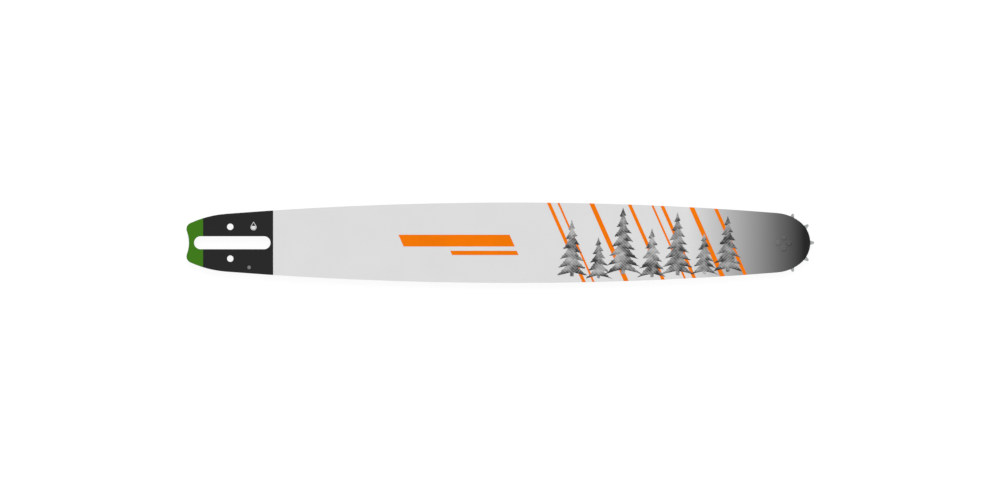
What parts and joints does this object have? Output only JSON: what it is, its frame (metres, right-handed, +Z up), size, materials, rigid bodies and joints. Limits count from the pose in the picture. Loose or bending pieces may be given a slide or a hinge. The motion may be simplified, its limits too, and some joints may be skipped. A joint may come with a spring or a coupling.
{
  "type": "chain saw guide bar",
  "caption": "Flat welded chain saw guide bar with a stud slot at the tail, grooved curved rails and a star sprocket that turns on a roller bearing in the nose.",
  "frame": {"origin": "centre of the stud slot, on the rear face that the bar lies on", "axes": "+X from the tail to the nose, +Y across the bar, +Z up out of the front face"},
  "size_m": [0.5878, 0.0754, 0.0047],
  "materials": {
    "painted_steel": "satin",
    "core_steel": "satin",
    "sprocket_steel": "satin",
    "bearing_steel": "polished",
    "cage_steel": "satin",
    "filler_polyamide": "matte",
    "rivet_steel": "satin"
  },
  "bodies": {
    "bar": {"front_side_plate": "painted_steel", "rear_side_plate": "painted_steel", "core_plate": "core_steel", "core_filler_1": "filler_polyamide", "core_filler_2": "filler_polyamide", "core_filler_3": "filler_polyamide", "bearing_race": "bearing_steel", "nose_rivets": "rivet_steel"},
    "sprocket": {"nose_sprocket": "sprocket_steel"},
    "cage": {"roller_cage": "cage_steel"},
    "roller_01": {"bearing_roller_01": "bearing_steel"},
    "roller_02": {"bearing_roller_02": "bearing_steel"},
    "roller_03": {"bearing_roller_03": "bearing_steel"},
    "roller_04": {"bearing_roller_04": "bearing_steel"},
    "roller_05": {"bearing_roller_05": "bearing_steel"},
    "roller_06": {"bearing_roller_06": "bearing_steel"},
    "roller_07": {"bearing_roller_07": "bearing_steel"},
    "roller_08": {"bearing_roller_08": "bearing_steel"},
    "roller_09": {"bearing_roller_09": "bearing_steel"},
    "roller_10": {"bearing_roller_10": "bearing_steel"}
  },
  "joints": [
    {"name": "sprocket_spin", "type": "hinge", "parent": "bar", "child": "sprocket", "pos_m": [0.51645, 0, 0.00235], "axis": [0, 0, 1], "continuous": true},
    {"name": "cage_spin", "type": "hinge", "parent": "bar", "child": "cage", "pos_m": [0.51645, 0, 0.00235], "axis": [0, 0, 1], "continuous": true},
    {"name": "roller_01_spin", "type": "hinge", "parent": "cage", "child": "roller_01", "pos_m": [0.52624, 0, 0.00235], "axis": [0, 0, 1], "continuous": true},
    {"name": "roller_02_spin", "type": "hinge", "parent": "cage", "child": "roller_02", "pos_m": [0.52437, 0.00575, 0.00235], "axis": [0, 0, 1], "continuous": true},
    {"name": "roller_03_spin", "type": "hinge", "parent": "cage", "child": "roller_03", "pos_m": [0.51948, 0.00931, 0.00235], "axis": [0, 0, 1], "continuous": true},
    {"name": "roller_04_spin", "type": "hinge", "parent": "cage", "child": "roller_04", "pos_m": [0.51342, 0.00931, 0.00235], "axis": [0, 0, 1], "continuous": true},
    {"name": "roller_05_spin", "type": "hinge", "parent": "cage", "child": "roller_05", "pos_m": [0.50853, 0.00575, 0.00235], "axis": [0, 0, 1], "continuous": true},
    {"name": "roller_06_spin", "type": "hinge", "parent": "cage", "child": "roller_06", "pos_m": [0.50666, 0, 0.00235], "axis": [0, 0, 1], "continuous": true},
    {"name": "roller_07_spin", "type": "hinge", "parent": "cage", "child": "roller_07", "pos_m": [0.50853, -0.00575, 0.00235], "axis": [0, 0, 1], "continuous": true},
    {"name": "roller_08_spin", "type": "hinge", "parent": "cage", "child": "roller_08", "pos_m": [0.51342, -0.00931, 0.00235], "axis": [0, 0, 1], "continuous": true},
    {"name": "roller_09_spin", "type": "hinge", "parent": "cage", "child": "roller_09", "pos_m": [0.51948, -0.00931, 0.00235], "axis": [0, 0, 1], "continuous": true},
    {"name": "roller_10_spin", "type": "hinge", "parent": "cage", "child": "roller_10", "pos_m": [0.52437, -0.00575, 0.00235], "axis": [0, 0, 1], "continuous": true}
  ],
  "couplings": [
    {"joint": "cage_spin", "follows": "sprocket_spin", "ratio": 0.56588},
    {"joint": "roller_01_spin", "follows": "sprocket_spin", "ratio": 3.848},
    {"joint": "roller_02_spin", "follows": "sprocket_spin", "ratio": 3.848},
    {"joint": "roller_03_spin", "follows": "sprocket_spin", "ratio": 3.848},
    {"joint": "roller_04_spin", "follows": "sprocket_spin", "ratio": 3.848},
    {"joint": "roller_05_spin", "follows": "sprocket_spin", "ratio": 3.848},
    {"joint": "roller_06_spin", "follows": "sprocket_spin", "ratio": 3.848},
    {"joint": "roller_07_spin", "follows": "sprocket_spin", "ratio": 3.848},
    {"joint": "roller_08_spin", "follows": "sprocket_spin", "ratio": 3.848},
    {"joint": "roller_09_spin", "follows": "sprocket_spin", "ratio": 3.848},
    {"joint": "roller_10_spin", "follows": "sprocket_spin", "ratio": 3.848}
  ]
}
